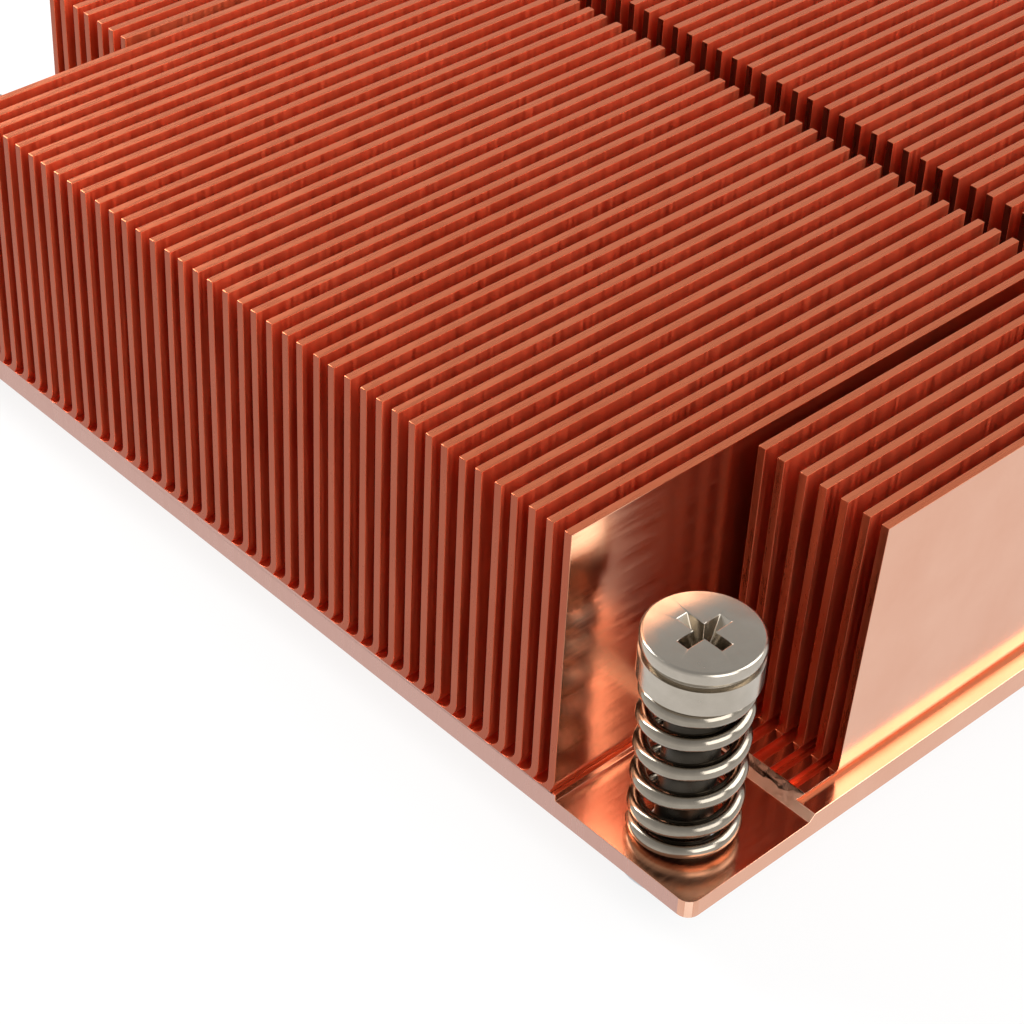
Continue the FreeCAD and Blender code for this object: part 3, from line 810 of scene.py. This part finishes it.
def screw_tree():
    """The blank with its thread and its cross recess, in its corner."""
    tree, size, result = new_tree("cut_a_screw", {
        "Blank": "Object", "Core Radius": "Float", "Thread Depth": "Float", "Thread Turns": "Float",
        "Thread Bottom": "Float", "Thread Top": "Float", "Recess Width": "Float", "Recess Slot": "Float",
        "Recess Floor": "Float", "Recess Top": "Float", "Recess Taper": "Float", "Place": "Vector",
        "Head Underside": "Float", "Break Above": "Float", "Plating": "Material", "Shaded Shank": "Material"})
    blank = add(tree, "GeometryNodeObjectInfo", {"Object": size["Blank"]})
    along = add(tree, "GeometryNodeSplineParameter")
    level = add(tree, "ShaderNodeMapRange", {
        "Value": along.outputs["Factor"], "To Min": size["Thread Bottom"], "To Max": size["Thread Top"]})
    helix = wound(tree, size["Core Radius"], size["Thread Turns"], level, steps=150)
    ridge = add(tree, "GeometryNodeCurvePrimitiveCircle", {"Resolution": 4, "Radius": size["Thread Depth"]})
    run_out = add(tree, "ShaderNodeMath", {0: along.outputs["Factor"], 1: 0.5}, operation="PINGPONG")
    swell = add(tree, "ShaderNodeMapRange", {"Value": run_out, "From Max": run_out_share, "To Min": 0.1})
    thread = add(tree, "GeometryNodeCurveToMesh", {
        "Curve": helix, "Profile Curve": ridge, "Scale": swell, "Fill Caps": True})
    threaded = add(tree, "GeometryNodeMeshBoolean", {1: [blank.outputs["Geometry"], thread]},
                   operation="UNION", solver="MANIFOLD")

    # The recess: a punch that tapers as it goes down, and the same punch a quarter turn round.
    floor_point = add(tree, "ShaderNodeCombineXYZ", {"Z": size["Recess Floor"]})
    top_point = add(tree, "ShaderNodeCombineXYZ", {"Z": size["Recess Top"]})
    plunge = add(tree, "GeometryNodeCurvePrimitiveLine", {"Start": floor_point, "End": top_point})
    widening = add(tree, "ShaderNodeMapRange", {
        "Value": along.outputs["Factor"], "To Min": size["Recess Taper"], "To Max": 1.0})
    wing = add(tree, "GeometryNodeCurvePrimitiveQuadrilateral", {
        "Width": size["Recess Width"], "Height": size["Recess Slot"]})
    punch = add(tree, "GeometryNodeCurveToMesh", {
        "Curve": plunge, "Profile Curve": wing, "Scale": widening, "Fill Caps": True})
    crossed = add(tree, "GeometryNodeTransform", {"Geometry": punch, "Rotation": (0, 0, math.pi / 2)})
    driven = add(tree, "GeometryNodeMeshBoolean", {0: threaded, 1: [punch, crossed]},
                 operation="DIFFERENCE", solver="MANIFOLD")
    placed = add(tree, "GeometryNodeTransform", {"Geometry": driven, "Translation": size["Place"]})

    # The head's sharp edges get marked, and all below the head gets the shank's painted shade.
    at = add(tree, "GeometryNodeInputPosition")
    at_z = add(tree, "ShaderNodeSeparateXYZ", {0: at})
    fold = add(tree, "GeometryNodeInputMeshEdgeAngle")
    sharp = add(tree, "ShaderNodeMath", {0: fold, 1: size["Break Above"]}, operation="GREATER_THAN")
    in_head = add(tree, "ShaderNodeMath", {0: at_z.outputs["Z"], 1: size["Head Underside"]},
                  operation="GREATER_THAN")
    broken = add(tree, "ShaderNodeMath", {0: sharp, 1: in_head}, operation="MULTIPLY")
    marked = add(tree, "GeometryNodeStoreNamedAttribute", {
        "Geometry": placed, "Name": "bevel_weight_edge", "Value": broken},
        data_type="FLOAT", domain="EDGE")
    realized = add(tree, "GeometryNodeRealizeInstances", {"Geometry": marked})
    plated = add(tree, "GeometryNodeSetMaterial", {"Geometry": realized, "Material": size["Plating"]})
    below_head = add(tree, "ShaderNodeMath", {0: at_z.outputs["Z"], 1: size["Head Underside"]},
                     operation="LESS_THAN")
    shaded_shank = add(tree, "GeometryNodeSetMaterial", {
        "Geometry": plated, "Selection": below_head, "Material": size["Shaded Shank"]})
    tree.links.new(shaded_shank.outputs[0], result[0])
    return tree


cut_screw = screw_tree()
print("screw tree:", len(cut_screw.nodes), "nodes")

# %% Four captive screws
thread_pitch = 0.6 * MM
thread_end_gap = 0.35 * MM
thread_bottom = screw_low.z + thread_end_gap
thread_top = neck_bottom - thread_end_gap
recess_width = 4.1 * MM
recess_slot = 1.0 * MM
recess_depth = 2.0 * MM
recess_taper = 0.35             # how much of its width the recess keeps at its floor
punch_overlap = 0.1 * MM
plating_overlap = 0.01 * MM     # so that the head's flat underside counts as head


def corner_place(number):
    """Where the axis of the numbered screw meets the plane of the contact face."""
    sign_x, sign_y = corners[number]
    return Vector((sign_x * screw_axis_x, sign_y * screw_axis_y, 0.0))


for number in corners:
    carrier = new_carrier(f"screw_carrier_{number}")
    run_tree(carrier, cut_screw, {
        "Blank": screw_blank, "Core Radius": core_radius, "Thread Depth": thread_depth,
        "Thread Turns": (thread_top - thread_bottom) / thread_pitch, "Thread Bottom": thread_bottom,
        "Thread Top": thread_top, "Recess Width": recess_width, "Recess Slot": recess_slot,
        "Recess Floor": head_top - recess_depth, "Recess Top": head_top + punch_overlap,
        "Recess Taper": recess_taper, "Place": corner_place(number),
        "Head Underside": head_underside - plating_overlap, "Break Above": sharp_edge,
        "Plating": nickel_plate, "Shaded Shank": shank_shade_steel})
    break_edges(carrier, width=0.06 * MM, chosen_by="WEIGHT")
    screw = take_mesh(carrier, f"plated_screw_{number}")
    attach(screw, f"turn_{number}")
    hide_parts(f"captive_screw_{number}")
bpy.data.objects.remove(screw_blank)

# %% [markdown]
# ## Springs
#
# A compression spring is round wire on a helix. Its first and last three quarters
# of a turn lie flat, so that it stands square on its seat, and the turns between
# share the rest of the height. The tree winds that path, with the height worked out
# from how far round the wire has come, and sweeps a circle along it.

# %% Tree that winds a spring
def spring_tree():
    """Round wire on a helix whose ends are closed, in its corner."""
    tree, size, result = new_tree("wind_a_spring", {
        "Bottom": "Float", "Height": "Float", "Coil Radius": "Float", "Wire Radius": "Float",
        "Open Turns": "Float", "Closed Turns": "Float", "Closed Pitch": "Float", "Start Angle": "Float",
        "Place": "Vector", "Wire": "Material"})
    turns = add(tree, "ShaderNodeMath", {0: size["Closed Turns"], 1: 2.0, 2: size["Open Turns"]},
                operation="MULTIPLY_ADD")
    along = add(tree, "GeometryNodeSplineParameter")
    wound_so_far = add(tree, "ShaderNodeMath", {0: along.outputs["Factor"], 1: turns},
                       operation="MULTIPLY")
    upper_start = add(tree, "ShaderNodeMath", {0: size["Closed Turns"], 1: size["Open Turns"]},
                      operation="ADD")
    closed_rise = add(tree, "ShaderNodeMath", {0: size["Closed Turns"], 1: size["Closed Pitch"]},
                      operation="MULTIPLY")
    open_rise = add(tree, "ShaderNodeMath", {0: closed_rise, 1: -2.0, 2: size["Height"]},
                    operation="MULTIPLY_ADD")
    level = size["Bottom"]
    for first, last, rise in ((0.0, size["Closed Turns"], closed_rise),
                              (size["Closed Turns"], upper_start, open_rise),
                              (upper_start, turns, closed_rise)):
        stretch = add(tree, "ShaderNodeMapRange", {
            "Value": wound_so_far, "From Min": first, "From Max": last, "To Max": rise})
        level = add(tree, "ShaderNodeMath", {0: level, 1: stretch}, operation="ADD")
    path = wound(tree, size["Coil Radius"], turns, level, steps=270, start=size["Start Angle"])
    section = add(tree, "GeometryNodeCurvePrimitiveCircle", {
        "Resolution": 16, "Radius": size["Wire Radius"]})
    wire = add(tree, "GeometryNodeCurveToMesh", {
        "Curve": path, "Profile Curve": section, "Fill Caps": True})
    placed = add(tree, "GeometryNodeTransform", {"Geometry": wire, "Translation": size["Place"]})
    realized = add(tree, "GeometryNodeRealizeInstances", {"Geometry": placed})
    plated = add(tree, "GeometryNodeSetMaterial", {"Geometry": realized, "Material": size["Wire"]})
    tree.links.new(plated.outputs[0], result[0])
    return tree


wind_spring = spring_tree()
print("spring tree:", len(wind_spring.nodes), "nodes")

# %% [markdown]
# When a screw is pressed down, its spring gets shorter: the foot stays on the seat
# and the top follows the head. The spring rides with the head and is squashed towards
# it by as much as the head travels, so it looks right at every height.

# %% Four springs
wire_radius = 0.575 * MM
open_turns = 4.1
closed_turns = 0.75
closed_gap = 0.03 * MM          # between the wire of a closed turn and the next
wire_end = math.radians(225)    # where the wire starts, on its way round
coil_radius = (spring_high.x - spring_low.x) / 2 - wire_radius
for number in corners:
    carrier = new_carrier(f"spring_carrier_{number}")
    run_tree(carrier, wind_spring, {
        "Bottom": spring_low.z + wire_radius, "Height": spring_high.z - spring_low.z - 2 * wire_radius,
        "Coil Radius": coil_radius, "Wire Radius": wire_radius, "Open Turns": open_turns,
        "Closed Turns": closed_turns, "Closed Pitch": 2 * wire_radius + closed_gap, "Start Angle": wire_end,
        "Place": corner_place(number), "Wire": spring_wire_steel})
    spring = take_mesh(carrier, f"coil_spring_{number}", smooth_below=math.radians(60),
                       keep_flats_flat=False)
    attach(spring, f"press_{number}")
    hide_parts(f"spring_{number}")
    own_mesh(spring)

# %% [markdown]
# ## Retaining rings
#
# A push-on ring snaps into the neck of each screw from the side, against the
# underside of the plate, so the screw can't fall out of its hole. The frame's solid
# already has the true outline. A copy of it is welded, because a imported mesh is
# loose triangles, its flat faces are joined up, and its edges are rounded, as the
# stamping and the tumbling barrel leave them.

# %% Four retaining rings
def welded_copy(node):
    """A carrier with a copy of a frame solid whose triangles are joined into whole faces."""
    shape = bmesh.new()
    shape.from_mesh(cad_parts[node].data)
    bmesh.ops.remove_doubles(shape, verts=shape.verts, dist=0.001 * MM)
    bmesh.ops.dissolve_limit(shape, angle_limit=math.radians(1), verts=shape.verts, edges=shape.edges)
    mesh = bpy.data.meshes.new(node + "_copy")
    shape.to_mesh(mesh)
    shape.free()
    mesh.materials.append(zinc_plate)
    return new_carrier(node + "_carrier", mesh)


for number in corners:
    carrier = welded_copy(f"retaining_ring_{number}")
    break_edges(carrier, width=0.08 * MM)
    ring = take_mesh(carrier, f"push_on_ring_{number}")
    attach(ring, f"press_{number}")
    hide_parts(f"retaining_ring_{number}")

# %% [markdown]
# ## Floor, light and camera
#
# The heatsink stands on a plain pale floor that runs to the horizon. Metal sees the
# floor as pure white. The camera sees it nearly so: a small share is paint, which
# takes the shadow under the part. Bare metal is only as bright as what it mirrors,
# so the light is placed by what each face looks at. The sky is a soft white, dimmer
# overhead. Three soft lamps stand round the part, and the one behind it is what the
# screw seats see in the walls of their notches. The camera looks down on the near
# corner with a long lens, rolled by a few degrees.

# %% Floor
lowest = screw_low.z
floor_glow = 0.85               # the share of the floor that the camera sees as white
bpy.ops.mesh.primitive_plane_add(size=6.0, location=(0, 0, lowest))
floor = bpy.context.object
floor.name = "studio_floor"
floor_paint, tree = new_material("floor_paint")
path = add(tree, "ShaderNodeLightPath")
mirrored = add(tree, "ShaderNodeMath", {
    0: path.outputs["Is Glossy Ray"], 1: path.outputs["Is Transmission Ray"]}, operation="MAXIMUM")
share = add(tree, "ShaderNodeMath", {0: path.outputs["Is Camera Ray"], 1: floor_glow, 2: mirrored},
            operation="MULTIPLY_ADD", use_clamp=True)
paint = add(tree, "ShaderNodeBsdfDiffuse", {"Color": linear("F2F2F0")})
glow = add(tree, "ShaderNodeEmission", {"Color": (1, 1, 1, 1), "Strength": 1.0})
mixed = add(tree, "ShaderNodeMixShader", {0: share, 1: paint, 2: glow})
add(tree, "ShaderNodeOutputMaterial", {"Surface": mixed})
floor.data.materials.append(floor_paint)
print("floor at", round(lowest / MM, 2), "mm")

# %% Sky and lamps
horizon_level = 0.85
zenith_level = 0.4
world = bpy.data.worlds.new("studio_sky")
scene.world = world
world.use_nodes = True
tree = world.node_tree
tree.nodes.clear()
direction = add(tree, "ShaderNodeTexCoord")
height = add(tree, "ShaderNodeSeparateXYZ", {0: direction.outputs["Generated"]})
fade = add(tree, "ShaderNodeMapRange", {
    "Value": height.outputs["Z"], "To Min": horizon_level, "To Max": zenith_level})
sky = add(tree, "ShaderNodeBackground", {"Color": (1, 1, 1, 1), "Strength": fade})
add(tree, "ShaderNodeOutputWorld", {"Surface": sky})


def soft_lamp(name, place, aim, width, power):
    """A square soft lamp at place that shines at aim."""
    lamp = bpy.data.objects.new(name, bpy.data.lights.new(name, "AREA"))
    lamp.data.size = width
    lamp.data.energy = power
    lamp.location = place
    lamp.rotation_mode = "QUATERNION"
    lamp.rotation_quaternion = (Vector(aim) - Vector(place)).to_track_quat("-Z", "Y")
    scene.collection.objects.link(lamp)


soft_lamp("right_softbox", (0.45, -0.1, 0.25), (0, 0, 0.01), width=0.35, power=1.2)
soft_lamp("left_softbox", (-0.26, -0.06, 0.2), (0, 0, 0.01), width=0.2, power=1.6)
soft_lamp("back_softbox", (0.33, 0.33, 0.38), (0, 0, 0.01), width=0.4, power=2.0)
print("sky and lamps set")

# %% Camera
camera = bpy.data.objects.new("camera", bpy.data.cameras.new("camera"))
scene.collection.objects.link(camera)
scene.camera = camera
camera.data.sensor_width = 36.0
camera.data.lens = 94.7
camera.location = (0.12085, -0.13788, 0.13169)
gaze = Vector((-0.551, 0.548, -0.629))
roll = math.radians(3.03)
camera.rotation_mode = "QUATERNION"
camera.rotation_quaternion = gaze.to_track_quat("-Z", "Y") @ Quaternion((0, 0, 1), roll)
camera.data.clip_start = 0.01
camera.data.clip_end = 20.0
scene.view_settings.view_transform = "Standard"
print("camera", round(camera.location.length / MM), "mm from the contact face")
